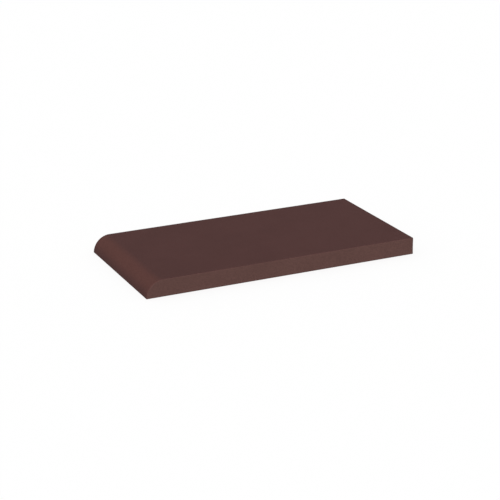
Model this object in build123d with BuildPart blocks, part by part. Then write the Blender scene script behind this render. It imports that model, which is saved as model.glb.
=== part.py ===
"""Clinker windowsill tile, pressed and fired in one piece.

The tile lies on z = 0 with its weathered face up. X runs along its length, from the
rounded nose at -X, which overhangs the wall, to the square rear end at +X. Y runs along
the sill, from one tile to the next. The origin is the middle of the underside.
"""

import os
from math import floor

from build123d import *

# Body, mm
length = 200.0  # tip of the nose to the rear end
width = 100.0  # across the long sides
thickness = 12.0  # underside to face
face_arris = 0.6  # radius that the die leaves on the face's edges and rear corners
heel_arris = 0.3  # bevel round the underside

# Keyed back, mm: shallow grooves across the tile, which the bedding mortar grips
key_width = 5.0  # of a groove, at the underside
key_pitch = 10.0  # one groove to the next
key_depth = 0.8  # into the underside
key_draft = 30.0  # degrees that a groove's walls lean, so the tile leaves the die
key_corner = 1.5  # radius of a groove's corners, seen from below
side_margin = 8.0  # plain border along each long side
rear_margin = 8.0  # plain border at the rear end
drip_margin = 36.0  # plain strip at the nose, least width, for the overhang

# The nose is a quarter round as high as the tile: it runs on into the face and meets
# the underside square.
nose_radius = thickness
tip_x = -length / 2
rear_x = length / 2

# The grooves are set out from the rear border, as many as the bedded part holds.
key_room = length - rear_margin - drip_margin
key_count = floor((key_room - key_width) / key_pitch) + 1
key_length = width - 2 * side_margin
last_key_x = rear_x - rear_margin - key_width / 2
middle_key_x = last_key_x - (key_count - 1) * key_pitch / 2

with BuildPart() as tile:
    # Side view of the tile, carried across its width
    with BuildSketch(Plane.XZ):
        with BuildLine():
            nose = CenterArc((tip_x + nose_radius, 0), nose_radius, 90, 90)
            Polyline(nose @ 1, (rear_x, 0), (rear_x, thickness), nose @ 0)
        make_face()
    extrude(amount=width / 2, both=True)

    # Edges, softened along the face, round the nose's ends and at the rear corners
    long_sides = tile.faces().filter_by(Axis.Y)
    rear_end = tile.faces().sort_by(Axis.X)[-1]
    underside = tile.faces().sort_by(Axis.Z)[0]
    face_edges = set(long_sides.edges() + rear_end.edges()) - set(underside.edges())
    fillet(face_edges, face_arris)
    chamfer(tile.faces().sort_by(Axis.Z)[0].edges(), heel_arris)

    # Keyed back
    with BuildSketch(Plane.XY):
        with Locations((middle_key_x, 0)):
            with GridLocations(key_pitch, 0, key_count, 1):
                RectangleRounded(key_width, key_length, key_corner)
    extrude(amount=key_depth, taper=key_draft, mode=Mode.SUBTRACT)

tile.part.label = "windowsill_tile"

os.makedirs("parts", exist_ok=True)
export_step(tile.part, "parts/windowsill_tile.step")
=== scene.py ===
"""Clinker windowsill tile: the fired skin over the tile's solid, and its studio stage.

The skin stands for the solid node and keeps its sizes. All lengths are in metres, in the
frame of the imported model: X runs from the rounded nose to the rear end, Y along the
sill, and the tile lies on z = 0 with its weathered face up.
"""

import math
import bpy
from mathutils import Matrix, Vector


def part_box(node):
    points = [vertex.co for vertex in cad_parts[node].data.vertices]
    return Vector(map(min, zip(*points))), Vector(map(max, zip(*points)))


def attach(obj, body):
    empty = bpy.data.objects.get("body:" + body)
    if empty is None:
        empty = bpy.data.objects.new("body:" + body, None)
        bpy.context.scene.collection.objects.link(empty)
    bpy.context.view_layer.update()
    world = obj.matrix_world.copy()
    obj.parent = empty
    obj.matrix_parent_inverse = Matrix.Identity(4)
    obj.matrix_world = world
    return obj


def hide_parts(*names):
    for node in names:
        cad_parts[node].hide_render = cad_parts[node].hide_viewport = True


bl_info = {
    "name": "Clinker windowsill tile",
    "version": (1, 0, 0),
    "blender": (4, 5, 0),
    "location": "3D View > Sidebar > Clinker tile",
    "description": "Builds the fired skin of a clinker windowsill tile and its stage",
    "category": "Add Mesh",
}

import bpy
import numpy as np
from bpy.props import FloatProperty, FloatVectorProperty, PointerProperty
from mathutils import Euler, Quaternion, Vector

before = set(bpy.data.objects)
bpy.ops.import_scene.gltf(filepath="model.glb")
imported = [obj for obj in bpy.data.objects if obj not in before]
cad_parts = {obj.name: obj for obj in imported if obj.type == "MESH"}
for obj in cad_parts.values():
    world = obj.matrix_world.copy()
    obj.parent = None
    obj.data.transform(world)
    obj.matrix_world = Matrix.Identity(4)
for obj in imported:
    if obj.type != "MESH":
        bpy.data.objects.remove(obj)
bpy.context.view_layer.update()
tile_low, tile_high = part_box("windowsill_tile")

MM = 0.001
WHITE = (1, 1, 1, 1)
UP, DOWN, REAR = (0.0, 1.0), (0.0, -1.0), (1.0, 0.0)  # in the XZ plane

# Mesh steps, counted where the form turns, and between those places
NOSE_STEPS, ARRIS_STEPS, HEEL_STEPS, EDGE_STEPS, WALL_STEPS = 44, 8, 6, 6, 7
STRIP_STEPS, BORDER_STEPS, MIDDLE_STEPS = 30, 6, 26

# Mesh rows at chosen places
SIDE_ROWS = np.array([0, 0.03, 0.15, 0.32, 0.5, 0.68, 0.85, 0.97, 1])  # shares of a side
BORDER_ROWS = np.array([0.2, 0.5, 0.8, 0.93])  # shares of the border past a groove's end
END_ROWS = np.array([4, 2, 1, 0.4]) * MM  # before a groove's end
FOOT_ROWS = np.array([0.3, 0.15]) * MM  # inside the foot of a groove's wall
FLOOR_ROW, LAND_ROW = 0.5, 0.3  # shares of half a groove's floor and half a land

SOFT_WALL = 0.1 * MM  # how far a groove's wall runs out into the flats beside it
BOW_REACH = 5 * MM  # how far the rear end's bow shows in the sides' columns
WARP_RISE = 3 * MM  # the warp grows from none at the underside to full at this height
WIDEST_EDGE = 0.98  # an arris's widest radius on the skin, as a share of the solid's
NEARLY = 1e-6  # share of a pitch that rounding may take from the room for grooves

# Ripples: how many waves make one, the range of their wave numbers, and the seeds
WAVES, WAVE_RANGE = 16, (0.6, 1.5)
WANDER_SEED, WARP_SEED = 3, 11

# Where the crest's redder flash and painted highlight come up and fade, as shares of the
# way round the nose
CREST_HIGHLIGHT_START, CREST_HIGHLIGHT_FADE = (0.05, 0.45), (0.66, 1.02)
GROOVE_SHADE = 0.7  # share of the underside's dust that the grooves stay free of
LIT_FLANK_POWER = 4  # how sharply the flank's painted lighter colour ends at an arris

# Grain, iron specks and pinholes
LAYER_SHARE = 0.65  # strength of a noise's finer layer beside the one before it
SPOT_RIM = (0.3, 0.8)  # a spot fades out between these shares of its width
SPECK_DRAWS, PIT_DRAWS = (0.45, 0.8), (0.4, 0.7)  # a cell is bare up to the first draw
SPECK_SHADE, PIT_PAINTED_SHADE = 0.4, 0.3  # how much darker an iron speck is, and how much painted shade lies in a pinhole
PEEL_HEIGHT, SPECK_HEIGHT, PIT_HEIGHT = 0.6, 0.3, -1  # beside the grain's

FLOOR_GAP = 0.02 * MM  # the floor lies a hair under the tile
SENSOR_WIDTH = 36  # mm, the unit of the camera's lens
NEAREST, FARTHEST = 0.05, 50  # the reach of the camera's sight


def linear(code):
    """A colour's sRGB hex code as linear red, green and blue."""
    share = np.array([int(code[i : i + 2], 16) for i in (1, 3, 5)]) / 255
    curve = ((share + 0.055) / 1.055) ** 2.4
    return tuple(float(v) for v in np.where(share <= 0.04045, share / 12.92, curve))


def length_of(name, default, text):
    """A length property, in metres."""
    return FloatProperty(
        name=name, description=text, default=default, min=0, unit="LENGTH", precision=5
    )


def angle_of(name, degrees, text):
    """An angle property, with its default in degrees."""
    return FloatProperty(
        name=name, description=text, default=math.radians(degrees), unit="ROTATION"
    )


def share_of(name, default, text):
    """A property from 0 to 1."""
    return FloatProperty(
        name=name, description=text, default=default, min=0, max=1, subtype="FACTOR"
    )


def colour_of(name, code, text):
    """A colour property, with its default as sRGB hex."""
    return FloatVectorProperty(
        name=name, description=text, default=linear(code), subtype="COLOR", min=0, max=1
    )


class TileSizes(bpy.types.PropertyGroup):
    """Sizes of the tile, as its solid has them, and how far firing bent them"""

    length: length_of("Length", 2 * tile_high.x, "Tip of the nose to the rear end")
    width: length_of("Width", tile_high.y - tile_low.y, "Across the long sides")
    thickness: length_of("Thickness", tile_high.z, "Height, and the nose's radius")
    face_arris: length_of(
        "Face arris", 0.6 * MM, "Radius of the face's edges and the rear corners"
    )
    heel_arris: length_of("Heel arris", 0.3 * MM, "Radius round the underside")
    key_width: length_of("Key width", 5 * MM, "Width of a groove at the underside")
    key_pitch: length_of("Key pitch", 10 * MM, "One groove to the next")
    key_depth: length_of("Key depth", 0.8 * MM, "Depth of a groove")
    key_draft: angle_of("Key draft", 30, "Lean of a groove's walls")
    key_corner: length_of("Key corner", 1.5 * MM, "Corner radius, seen from below")
    side_margin: length_of("Side margin", 8 * MM, "Plain border along each long side")
    rear_margin: length_of("Rear margin", 8 * MM, "Plain border at the rear end")
    drip_margin: length_of("Drip margin", 36 * MM, "Plain strip at the nose")
    wander: share_of("Edge wander", 0.14, "How much an edge's radius falls and rises")
    wander_length: length_of("Wander length", 17 * MM, "One swell of an edge to the next")
    warp: length_of("Warp", 0.05 * MM, "How far firing has drawn the faces in")
    warp_length: length_of("Warp length", 45 * MM, "One swell of the warp to the next")


class ClinkerFinish(bpy.types.PropertyGroup):
    """Colours and grain of the fired clay"""

    face: colour_of("Face", "#4E3533", "Fired clay of the weathered face")
    # The crest: a redder flash on the nose, lighter too, which is partly a painted
    # highlight
    crest_flash_and_highlight: colour_of("Crest", "#553834", "Redder flash on the nose's crest")
    # The flank: the face's clay painted lighter for the sides and the rear end, a lit
    # copy of it
    lit_flank: colour_of("Flank", "#553D39", "Fired clay of the sides and the rear end")
    back: colour_of("Back", "#6A564D", "Duller underside, dusted from the kiln")
    mottle_size: length_of("Mottle size", 26 * MM, "Width of a cloud of colour")
    peel_size: length_of("Peel size", 3.2 * MM, "Width of a swell of the pressed skin")
    grain_size: length_of("Grain size", 0.6 * MM, "Width of a grain")
    speck_size: length_of("Speck size", 0.5 * MM, "Width of an iron speck")
    speck_gap: length_of("Speck gap", 5 * MM, "One iron speck to the next")
    pit_size: length_of("Pinhole size", 0.28 * MM, "Width of a pinhole")
    pit_gap: length_of("Pinhole gap", 1.5 * MM, "One pinhole to the next")
    relief: length_of("Relief", 0.08 * MM, "Height of the grain")


class StudioStage(bpy.types.PropertyGroup):
    """Camera, light and floor"""

    azimuth: angle_of("Azimuth", -25.32, "Camera's turn round the tile")
    elevation: angle_of("Elevation", 19.698, "Camera's height above the floor")
    roll: angle_of("Roll", -0.148, "Camera's roll about its view")
    distance: length_of("Distance", 1.0514, "Camera to the point it looks at")
    lens: FloatProperty(
        name="Lens", description="Focal length, mm", default=109.3, unit="CAMERA"
    )
    aim: FloatVectorProperty(
        name="Aim",
        description="Point that the camera looks at",
        default=(-6.26 * MM, -8.37 * MM, 5.98 * MM),
        unit="LENGTH",
        precision=5,
    )
    sun_azimuth: angle_of("Sun azimuth", -25.6, "Lamp's turn round the tile")
    sun_elevation: angle_of("Sun elevation", 33.5, "Lamp's height above the floor")
    sun_width: angle_of("Sun width", 14, "How wide the lamp looks, for soft shadows")
    sun_strength: FloatProperty(
        name="Sun strength", description="Light on a face turned to it", default=3.1
    )
    ambient: share_of("Ambient", 0.45, "Light from all round")
    shadow: share_of("Shadow", 0.33, "Share of the floor's white that a shadow takes")
    floor_size: length_of("Floor size", 12, "Side of the square floor")


def smooth(value, start, end):
    """An S-curve: 0 up to start, 1 from end on, and 3 s^2 - 2 s^3 of the share s of the
    way between."""
    share = np.clip((value - start) / (end - start), 0, 1)
    return share * share * (3 - 2 * share)


def ripple(points, wave, seed):
    """A smooth random height from 0 to 1: a half, plus the mean of the sines of some
    plane waves, each about one wave long, with a seeded direction, length and phase."""
    draw = np.random.default_rng(seed)
    ways = draw.normal(size=(WAVES, points.shape[-1]))
    ways /= np.linalg.norm(ways, axis=1, keepdims=True)
    ways *= 2 * math.pi / wave * draw.uniform(*WAVE_RANGE, (WAVES, 1))
    phases = draw.uniform(0, 2 * math.pi, WAVES)
    return 0.5 + np.clip(np.sin(points @ ways.T + phases).mean(-1), -0.5, 0.5)


def arc(centre, radius, start, end, steps):
    """An arc in the XZ plane: centre + radius * (cos, sin) of an angle that runs evenly
    from start to end, in degrees. Returns points and outward normals."""
    turn = np.radians(np.linspace(start, end, steps + 1))
    normals = np.stack([np.cos(turn), np.sin(turn)], 1)
    return np.array(centre) + radius * normals, normals


def straight(x, z, normal):
    """A straight run in the XZ plane, at each x and z. Returns points and normals."""
    points = np.stack(np.broadcast_arrays(x, z), 1)
    return points, np.broadcast_to(normal, points.shape)


def chain(*runs):
    """Joins runs end to end. A run's first point is the last of the one before."""
    return tuple(
        np.concatenate([part[0][:1]] + [p[1:] for p in part]) for part in zip(*runs)
    )


def key_centres(size):
    """Centres of the grooves along X, set out from the rear border, as many as fit."""
    room = size.length - size.rear_margin - size.drip_margin
    count = math.floor((room - size.key_width) / size.key_pitch + NEARLY) + 1
    last = size.length / 2 - size.rear_margin - size.key_width / 2
    return last - size.key_pitch * np.arange(count)[::-1]


def wall_width(size):
    """Width of a groove's leaning wall, seen from below, with its soft top and foot."""
    return size.key_depth * math.tan(size.key_draft) + 2 * SOFT_WALL


def wall_rows(edge, size):
    """Mesh rows up a groove's wall with its top at edge, from just inside its foot."""
    rows = edge + SOFT_WALL - wall_width(size) * np.linspace(1, 0, WALL_STEPS + 1)
    return np.r_[rows[0] - FOOT_ROWS, rows]


def key_relief(x, y, size):
    """Share of the grooves' depth at x, y: the distance inside the nearest groove's
    rounded outline, over the width of its wall, through an S-curve."""
    centres = key_centres(size)
    nearest = centres[np.abs(x[..., None] - centres).argmin(-1)]
    over_x = np.abs(x - nearest) - (size.key_width / 2 - size.key_corner)
    over_y = np.abs(y) - (size.width / 2 - size.side_margin - size.key_corner)
    round_corner = np.hypot(np.maximum(over_x, 0), np.maximum(over_y, 0))
    inside = size.key_corner - round_corner - np.minimum(np.maximum(over_x, over_y), 0)
    return smooth(inside, -SOFT_WALL, wall_width(size) - SOFT_WALL)


def tile_section(size):
    """Side view of the tile, once round in the XZ plane from the tip of the nose: its
    quarter circle, the face, an arris, the rear end, and the underside between its heel
    arcs. The underside's points lie below the face's and come close at each groove's
    walls, and under the nose they start at its heel arc. Returns points, outward normals
    and the number of the arris's last point."""
    tip, rear, top = -size.length / 2, size.length / 2, size.thickness
    face, heel = size.face_arris, size.heel_arris
    # The heel's arc lies inside the nose's and meets it where both face the same way
    lift = math.degrees(math.asin(heel / (top - heel)))
    heel_x = tip + top - math.sqrt((top - heel) ** 2 - heel**2)
    quarter = arc((tip + top, 0), top, 180 - lift, 90, NOSE_STEPS)

    # Places along X: over each groove's floor and walls, with half a land on each side
    wall = wall_rows(size.key_width / 2, size)
    land = wall[-1] + LAND_ROW * (size.key_pitch / 2 - wall[-1])
    half = np.r_[FLOOR_ROW * wall[0], wall, land]
    spots = np.r_[-half[::-1], 0, half, size.key_pitch / 2]
    keyed = (key_centres(size)[:, None] + spots).ravel()
    keyed = keyed[keyed < rear - 2 * face]
    # Along the face, and along the underside
    strip = np.linspace(tip + top, keyed[0], STRIP_STEPS + 1)
    border = np.linspace(keyed[-1], rear - face, BORDER_STEPS + 1)
    above = np.r_[strip, keyed[1:], border[1:]]
    toe = np.linspace(rear - face, rear - heel, ARRIS_STEPS - HEEL_STEPS + 1)
    nose_x = quarter[0][HEEL_STEPS:, 0]
    nose_x = np.interp(nose_x, nose_x[[0, -1]], [heel_x, nose_x[-1]])
    below = np.r_[nose_x, above[1:], toe[1:]]

    over = chain(
        quarter,
        straight(above, top, UP),
        arc((rear - face, top - face), face, 90, 0, ARRIS_STEPS),
    )
    end = straight(rear, heel + (top - face - heel) * SIDE_ROWS[::-1], REAR)
    under = chain(
        arc((heel_x, heel), heel, 180 - lift, 270, HEEL_STEPS),
        straight(below, 0, DOWN),
        arc((rear - heel, heel), heel, 270, 360, HEEL_STEPS),
    )
    points, normals = chain(over, end, [run[::-1] for run in under])
    return points[:-1], normals[:-1], len(over[0]) - 1


def cross_rows(size):
    """Rows across the tile, as their turn round the arris from 0 to 90 degrees, the side
    they are at (-1, 0 or 1) and, between the arrises, their y. They lie close at the
    grooves' ends and beside the arrises."""
    half = size.width / 2
    wall = wall_rows(half - size.side_margin, size)
    before = wall[0] - END_ROWS
    border = wall[-1] + (half - size.face_arris - wall[-1]) * BORDER_ROWS
    ends = np.r_[before, wall, border]
    middle = np.linspace(-before[0], before[0], MIDDLE_STEPS + 1)[1:-1]
    y = np.r_[-ends[::-1], middle, ends]
    turn = np.radians(np.linspace(90, 0, EDGE_STEPS + 1))
    flat, none = np.zeros_like(y), np.zeros_like(turn)
    phi = np.r_[turn, flat, turn[::-1]]
    side = np.r_[none - 1, flat, none + 1]
    return phi, side, np.r_[none, y, none]


def grid_faces(index, way=1):
    """The quads of a grid of vertex numbers, turned over where way is -1."""
    corners = [index[:-1, :-1], index[1:, :-1], index[1:, 1:], index[:-1, 1:]]
    return np.stack(corners, -1).reshape(-1, 4)[:, ::way]


def fan_faces(tip, column, way=1):
    """The triangles between one vertex and a column of them."""
    tips = np.full(len(column) - 1, tip)
    return np.stack([tips, column[:-1], column[1:]], -1)[:, ::way]


def zone_marks(section, ahead, up, phi, sunk, size):
    """How far each point belongs to a zone, from 0 to 1. The crest's redder flash and
    painted highlight go by the way up the nose and on to the face, in shares of the
    quarter round. The arris is strongest where the skin leans halfway, the lit flank,
    painted lighter, where it faces sideways or to the rear, and the bed where it faces
    down, less so in the grooves."""
    way = np.append(0, np.cumsum(np.hypot(*np.diff(section, axis=0).T)))
    way = way[:, None] / (size.thickness * math.pi / 2)
    crest_flash_and_highlight = smooth(way, *CREST_HIGHLIGHT_START) * (1 - smooth(way, *CREST_HIGHLIGHT_FADE))
    # The nose leans too, but is no arris
    corner = np.abs(2 * ahead * up) * (section[:, :1] > 0)
    out, around = np.cos(phi), np.sin(phi)
    return {
        "crest_flash_and_highlight": crest_flash_and_highlight * out**2,
        "arris": np.maximum(np.sin(2 * phi), corner * out),
        "lit_flank": np.maximum(around, np.maximum(ahead, 0)) ** LIT_FLANK_POWER,
        "bed": np.maximum(-up, 0) * out**2 * (1 - GROOVE_SHADE * sunk),
    }


def side_fill(edge, numbers, last, first):
    """Fills a long side inside its edge, whose points run as the section's do: straight
    columns go from the underside's points to the face's points over them, and those near
    the rear end take on its bow and the heights of its points. The new points are
    numbered from first on. Returns them and the grid of the side's point numbers, all
    but the tip's."""
    over = np.arange(last + 1)
    under, rear = -over % len(edge), np.arange(len(edge) - last, last - 1, -1)
    shares = SIDE_ROWS[:, None]
    columns = edge[under, None] * (1 - shares) + edge[over, None] * shares
    near_rear = smooth(edge[over, :1], edge[last, 0] - BOW_REACH, edge[last, 0])
    columns[..., 0] += near_rear * (edge[rear, 0] - columns[-1, :, 0])
    columns[..., 2] += near_rear * (edge[rear, 2] - columns[..., 2])
    inner = columns[1:-1, 1:-1]
    grid = np.empty((last, len(SIDE_ROWS)), int)
    grid[:, 0], grid[:, -1] = numbers[under[1:]], numbers[over[1:]]
    grid[-1] = numbers[rear]
    grid[:-1, 1:-1] = first + np.arange(inner[..., 0].size).reshape(inner.shape[:2])
    return inner.reshape(-1, 3), grid


def edge_radius(section, size):
    """The long sides' arris radius at each point of the section. It grows from the
    heel's to the face's over half the height, and falls and rises along the edge with a
    ripple, as a pressed edge is never quite even. At the heel it stays under the heel
    arc's own radius, or the arc would turn inside out."""
    heel, height = size.heel_arris, section[:, 1:]
    radius = heel + (size.face_arris - heel) * smooth(height, heel, size.thickness / 2)
    fall = size.wander * ripple(section, size.wander_length, WANDER_SEED)
    return radius * (WIDEST_EDGE - fall[:, None])


def tile_skin(size):
    """The tile's closed skin. The section is carried across Y in rows. At a long side
    the rows turn through a quarter circle by phi: the section is drawn in by its arris
    radius times 1 - cos phi, at half the width less the radius times 1 - sin phi. Both
    sides are then filled. All faces but the underside are drawn in by a slow ripple.
    Returns points, quads, triangles and a mark from 0 to 1 for each zone."""
    section, facing, last = tile_section(size)
    radius = edge_radius(section, size)
    phi, side, y = cross_rows(size)
    out, around = np.cos(phi), np.sin(phi)
    ahead, up = facing[:, :1], facing[:, 1:]
    x = section[:, :1] - radius * (1 - out) * ahead
    z = section[:, 1:] - radius * (1 - out) * up
    y = y + side * (size.width / 2 - radius * (1 - around))
    sunk = np.where(np.isclose(up, -1) & (side == 0), key_relief(x, y, size), 0)
    skin = np.stack([x, y, z + size.key_depth * sunk], -1)
    outward = np.stack(np.broadcast_arrays(ahead * out, side * around, up * out), -1)

    loop = np.arange(x.size).reshape(x.shape)
    quads, tris = [grid_faces(np.vstack([loop, loop[:1]]))], []
    points, normals = [skin.reshape(-1, 3)], [outward.reshape(-1, 3)]
    for row, turned in ((0, 1), (len(phi) - 1, -1)):
        first = sum(len(part) for part in points)
        inner, grid = side_fill(skin[:, row], loop[:, row], last, first)
        quads.append(grid_faces(grid, turned))
        tris.append(fan_faces(loop[0, row], grid[0], turned))
        points.append(inner)
        normals.append(np.broadcast_to((0, -turned, 0), inner.shape))

    points, normals = np.concatenate(points), np.concatenate(normals)
    drawn = size.warp * ripple(points, size.warp_length, WARP_SEED)
    drawn *= smooth(points[:, 2], 0, WARP_RISE)
    points = points - drawn[:, None] * normals
    # The filled sides take the flank's painted lighter colour all over
    filled = np.ones(len(points) - x.size)
    marks = {
        name: np.append(np.broadcast_to(mark, x.shape), filled * (name == "lit_flank"))
        for name, mark in zone_marks(section, ahead, up, phi, sunk, size).items()
    }
    return points, np.concatenate(quads), np.concatenate(tris), marks


def mesh_object(name, points, quads, tris, marks):
    """A smooth mesh object at the origin, with one float attribute for each mark."""
    mesh = bpy.data.meshes.new(name)
    mesh.from_pydata(points.tolist(), [], quads.tolist() + tris.tolist())
    if mesh.validate():
        raise RuntimeError(f"{name} has faces that aren't valid")
    mesh.polygons.foreach_set("use_smooth", np.ones(len(mesh.polygons), bool))
    for mark, values in marks.items():
        attribute = mesh.attributes.new(mark, "FLOAT", "POINT")
        attribute.data.foreach_set("value", values.astype(np.float32))
    mesh.update()
    made = bpy.data.objects.new(name, mesh)
    bpy.context.scene.collection.objects.link(made)
    return made


def add(tree, kind, settings=None, values=None, links=None):
    """Adds a node: settings are its own properties, values its inputs' values, and links
    the outputs that feed its inputs. An input goes by its name or its number."""
    made = tree.nodes.new(kind)
    for name, value in (settings or {}).items():
        setattr(made, name, value)
    for name, value in (values or {}).items():
        made.inputs[name].default_value = value
    for name, source in (links or {}).items():
        tree.links.new(source, made.inputs[name])
    return made


def new_tree(holder):
    """An empty node tree in a material or world."""
    holder.use_nodes = True
    holder.node_tree.nodes.clear()
    return holder.node_tree


def fired_clinker(finish):
    """Clinker: stoneware clay with iron, dry pressed, fired until it is dense, unglazed
    and of one colour right through. It gives the eye a dull dark brown with a faint grain
    and a few iron specks, a touch redder on the nose's crest, where a painted highlight
    lies too, paler on the arrises and dusty underneath. The sides and the rear end are
    painted lighter than the face, as a lit copy of the same clay, and the pinholes are
    painted darker, as shade in their hollows."""
    material = bpy.data.materials.new("Fired clinker, pressed and unglazed")
    tree = new_tree(material)
    place = add(tree, "ShaderNodeTexCoord").outputs["Object"]
    # Real grit is 0.1 to 0.3 mm wide; the grain is drawn coarser, so that it shows
    mottle, peel, grain = (
        add(
            tree,
            "ShaderNodeTexNoise",
            values={"Scale": 1 / width, "Detail": finer, "Roughness": LAYER_SHARE},
            links={"Vector": place},
        ).outputs["Fac"]
        for width, finer in (
            (finish.mottle_size, 2),
            (finish.peel_size, 1),
            (finish.grain_size, 4),
        )
    )
    crest_flash_and_highlight, arris, lit_flank, bed = (
        add(tree, "ShaderNodeAttribute", {"attribute_name": name}).outputs["Fac"]
        for name in ("crest_flash_and_highlight", "arris", "lit_flank", "bed")
    )

    # Iron specks and pinholes lie in about half of the cells of a pattern each
    speck_cells, pit_cells = (
        add(
            tree,
            "ShaderNodeTexVoronoi",
            values={"Scale": 1 / gap},
            links={"Vector": place},
        ).outputs
        for gap in (finish.speck_gap, finish.pit_gap)
    )
    speck_draw, pit_draw = (
        add(tree, "ShaderNodeSeparateColor", links={0: cells["Color"]}).outputs[0]
        for cells in (speck_cells, pit_cells)
    )
    # Distances in a cell are shares of the gap between cells
    speck_rim, pit_rim = (
        [edge * width / gap for edge in SPOT_RIM]
        for width, gap in (
            (finish.speck_size, finish.speck_gap),
            (finish.pit_size, finish.pit_gap),
        )
    )
    # Each row has a name, a source, the two ends of its range and the value at each end
    scaled = {
        name: add(
            tree,
            "ShaderNodeMapRange",
            {"interpolation_type": "SMOOTHSTEP"},
            {1: low, 2: high, 3: at_low, 4: at_high},
            {0: source},
        ).outputs[0]
        for name, source, low, high, at_low, at_high in (
            ("speck", speck_cells["Distance"], *speck_rim, 1, 0),
            ("has speck", speck_draw, *SPECK_DRAWS, 0, 1),
            ("pit", pit_cells["Distance"], *pit_rim, 1, 0),
            ("has pit", pit_draw, *PIT_DRAWS, 0, 1),
            ("dusty", mottle, 0.35, 0.65, 0.25, 0.8),
            ("cloud", mottle, 0.3, 0.7, 0.97, 1.03),
            ("tone", grain, 0.35, 0.65, 0.86, 1.14),
            ("roughness", grain, 0.3, 0.7, 0.82, 0.94),
            ("worn", arris, 0, 1, 1, 1.03),
        )
    }
    speck, pit, dust = (
        add(
            tree, "ShaderNodeMath", {"operation": "MULTIPLY"}, links={0: a, 1: b}
        ).outputs[0]
        for a, b in (
            (scaled["speck"], scaled["has speck"]),
            (scaled["pit"], scaled["has pit"]),
            (bed, scaled["dusty"]),
        )
    )

    colour = None
    # Over the face's colour: the crest's redder flash and painted highlight, the flank's
    # painted lighter colour, and the underside's dust
    for shade, share in (
        (finish.crest_flash_and_highlight, crest_flash_and_highlight),
        (finish.lit_flank, lit_flank),
        (finish.back, dust),
    ):
        # Inputs 6 and 7 of Mix are its two colours, and output 2 is the mixed one
        mix = add(
            tree,
            "ShaderNodeMix",
            {"data_type": "RGBA"},
            {6: (*finish.face, 1), 7: (*shade, 1)},
            {0: share, **({6: colour} if colour else {})},
        )
        colour = mix.outputs[2]
    # Iron specks are darker clay; a pinhole's darkening is painted shade in its hollow
    speck_dark_and_pit_shade = [
        add(
            tree,
            "ShaderNodeMath",
            {"operation": "MULTIPLY_ADD"},
            {1: -loss, 2: 1},
            {0: mark},
        ).outputs[0]
        for mark, loss in ((speck, SPECK_SHADE), (pit, PIT_PAINTED_SHADE))
    ]
    for factor in (scaled["cloud"], scaled["tone"], *speck_dark_and_pit_shade, scaled["worn"]):
        colour = add(
            tree,
            "ShaderNodeVectorMath",
            {"operation": "SCALE"},
            links={0: colour, "Scale": factor},
        ).outputs[0]

    height = grain
    for source, share in ((peel, PEEL_HEIGHT), (speck, SPECK_HEIGHT), (pit, PIT_HEIGHT)):
        height = add(
            tree,
            "ShaderNodeMath",
            {"operation": "MULTIPLY_ADD"},
            {1: share},
            {0: source, 2: height},
        ).outputs[0]
    relief = add(
        tree,
        "ShaderNodeBump",
        values={"Strength": 1, "Distance": finish.relief},
        links={"Height": height},
    )
    # Its open, gritty skin throws back hardly any shine
    shader = add(
        tree,
        "ShaderNodeBsdfPrincipled",
        values={"IOR": 1.5, "Specular IOR Level": 0.04},
        links={
            "Base Color": colour,
            "Roughness": scaled["roughness"],
            "Normal": relief.outputs[0],
        },
    )
    add(tree, "ShaderNodeOutputMaterial", links={"Surface": shader.outputs[0]})
    return material


def seen_ray(tree):
    """1 for a ray from the camera, or one that a mirror or glass sends on, else 0."""
    path = add(tree, "ShaderNodeLightPath").outputs
    seen = path["Is Camera Ray"]
    for name in ("Is Glossy Ray", "Is Transmission Ray"):
        seen = add(
            tree,
            "ShaderNodeMath",
            {"operation": "MAXIMUM"},
            links={0: seen, 1: path[name]},
        ).outputs[0]
    return seen


def studio_paper(stage):
    """White matt paper. Where it is seen it is white, less a share of its shadows; the
    light that it throws back on the tile is as dim as the ambient light."""
    material = bpy.data.materials.new("Studio paper, white and matt")
    tree = new_tree(material)
    glow = add(tree, "ShaderNodeEmission", values={"Color": WHITE})
    lit = add(tree, "ShaderNodeBsdfDiffuse", values={"Color": WHITE})
    dim = add(
        tree, "ShaderNodeBsdfDiffuse", values={"Color": (*[stage.ambient] * 3, 1)}
    )
    white = add(
        tree,
        "ShaderNodeMixShader",
        values={0: stage.shadow},
        links={1: glow.outputs[0], 2: lit.outputs[0]},
    )
    paper = add(
        tree,
        "ShaderNodeMixShader",
        links={0: seen_ray(tree), 1: dim.outputs[0], 2: white.outputs[0]},
    )
    add(tree, "ShaderNodeOutputMaterial", links={"Surface": paper.outputs[0]})
    return material


def toward(azimuth, elevation):
    """Unit vector from the tile to what stands at that azimuth and elevation."""
    level = math.cos(elevation)
    return Vector(
        (math.sin(azimuth) * level, -math.cos(azimuth) * level, math.sin(elevation))
    )


class CLINKER_OT_tile_skin(bpy.types.Operator):
    """Build the tile's fired skin in place of its plain solid"""

    bl_idname = "clinker.tile_skin"
    bl_label = "Build the tile"

    def execute(self, context):
        size = context.scene.clinker_sizes
        if size.length < size.drip_margin + size.key_width + size.rear_margin:
            raise RuntimeError("no groove fits between the margins")
        tile = mesh_object("clinker_tile", *tile_skin(size))
        tile.data.materials.append(fired_clinker(context.scene.clinker_finish))
        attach(tile, "root")
        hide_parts("windowsill_tile")
        return {"FINISHED"}


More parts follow.
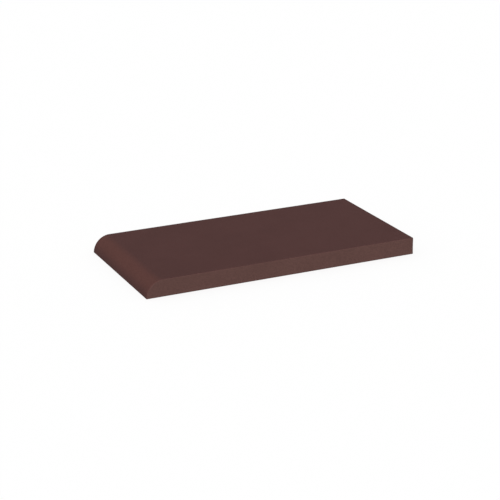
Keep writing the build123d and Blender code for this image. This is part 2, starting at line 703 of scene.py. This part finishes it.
class CLINKER_OT_studio_stage(bpy.types.Operator):
    """Set up the floor, the world, the lamp and the camera"""

    bl_idname = "clinker.studio_stage"
    bl_label = "Set the stage"

    def execute(self, context):
        scene, stage = context.scene, context.scene.clinker_stage
        scene.view_settings.view_transform = "Standard"

        # Floor
        corners = np.array([(-1, -1), (1, -1), (1, 1), (-1, 1)]) * stage.floor_size / 2
        corners = np.column_stack([corners, np.full(4, -FLOOR_GAP)])
        floor = mesh_object("floor", corners, np.arange(4)[None], np.empty((0, 3)), {})
        floor.data.materials.append(studio_paper(stage))

        # World: white where it is seen, else dim light from all round
        scene.world = bpy.data.worlds.new("Studio")
        tree = new_tree(scene.world)
        strength = add(
            tree,
            "ShaderNodeMix",
            {"data_type": "FLOAT"},
            {2: stage.ambient, 3: 1},
            {0: seen_ray(tree)},
        )
        sky = add(
            tree,
            "ShaderNodeBackground",
            values={"Color": WHITE},
            links={"Strength": strength.outputs[0]},
        )
        add(tree, "ShaderNodeOutputWorld", links={"Surface": sky.outputs[0]})

        # Lamp: a wide soft sun behind the camera, and higher
        lamp = bpy.data.lights.new("soft_sun", "SUN")
        lamp.energy, lamp.angle = stage.sun_strength, stage.sun_width
        sun = bpy.data.objects.new("soft_sun", lamp)
        scene.collection.objects.link(sun)
        sun.location = toward(stage.sun_azimuth, stage.sun_elevation)
        sun.rotation_euler = sun.location.to_track_quat("Z", "Y").to_euler()

        # Camera, as it stood for the photograph
        lens = bpy.data.cameras.new("camera")
        lens.lens, lens.sensor_width = stage.lens, SENSOR_WIDTH
        lens.clip_start, lens.clip_end = NEAREST, FARTHEST
        camera = bpy.data.objects.new("camera", lens)
        scene.collection.objects.link(camera)
        back = toward(stage.azimuth, stage.elevation)
        camera.location = Vector(stage.aim) + back * stage.distance
        level = Euler((math.pi / 2 - stage.elevation, 0, stage.azimuth))
        turned = level.to_quaternion() @ Quaternion((0, 0, 1), stage.roll)
        camera.rotation_euler = turned.to_euler()
        scene.camera = camera
        return {"FINISHED"}


class CLINKER_PT_sidebar(bpy.types.Panel):
    """The tile's sizes, finish and stage"""

    bl_label = "Clinker tile"
    bl_idname = "CLINKER_PT_sidebar"
    bl_space_type = "VIEW_3D"
    bl_region_type = "UI"
    bl_category = "Clinker tile"

    def draw(self, context):
        scene = context.scene
        for group in (scene.clinker_sizes, scene.clinker_finish, scene.clinker_stage):
            box = self.layout.box()
            for name in type(group).__annotations__:
                box.prop(group, name)
        for operator in (CLINKER_OT_tile_skin, CLINKER_OT_studio_stage):
            self.layout.operator(operator.bl_idname)


GROUPS = {
    "clinker_sizes": TileSizes,
    "clinker_finish": ClinkerFinish,
    "clinker_stage": StudioStage,
}
CLASSES = (
    *GROUPS.values(),
    CLINKER_OT_tile_skin,
    CLINKER_OT_studio_stage,
    CLINKER_PT_sidebar,
)


def register():
    """Makes the classes known and gives every scene their settings."""
    for cls in CLASSES:
        bpy.utils.register_class(cls)
    for name, group in GROUPS.items():
        setattr(bpy.types.Scene, name, PointerProperty(type=group))


def unregister():
    """Takes the settings and the classes away again."""
    for name in GROUPS:
        delattr(bpy.types.Scene, name)
    for cls in reversed(CLASSES):
        bpy.utils.unregister_class(cls)


def main():
    """Builds the tile and its stage."""
    register()
    bpy.ops.clinker.tile_skin()
    bpy.ops.clinker.studio_stage()


if __name__ == "__main__":
    main()
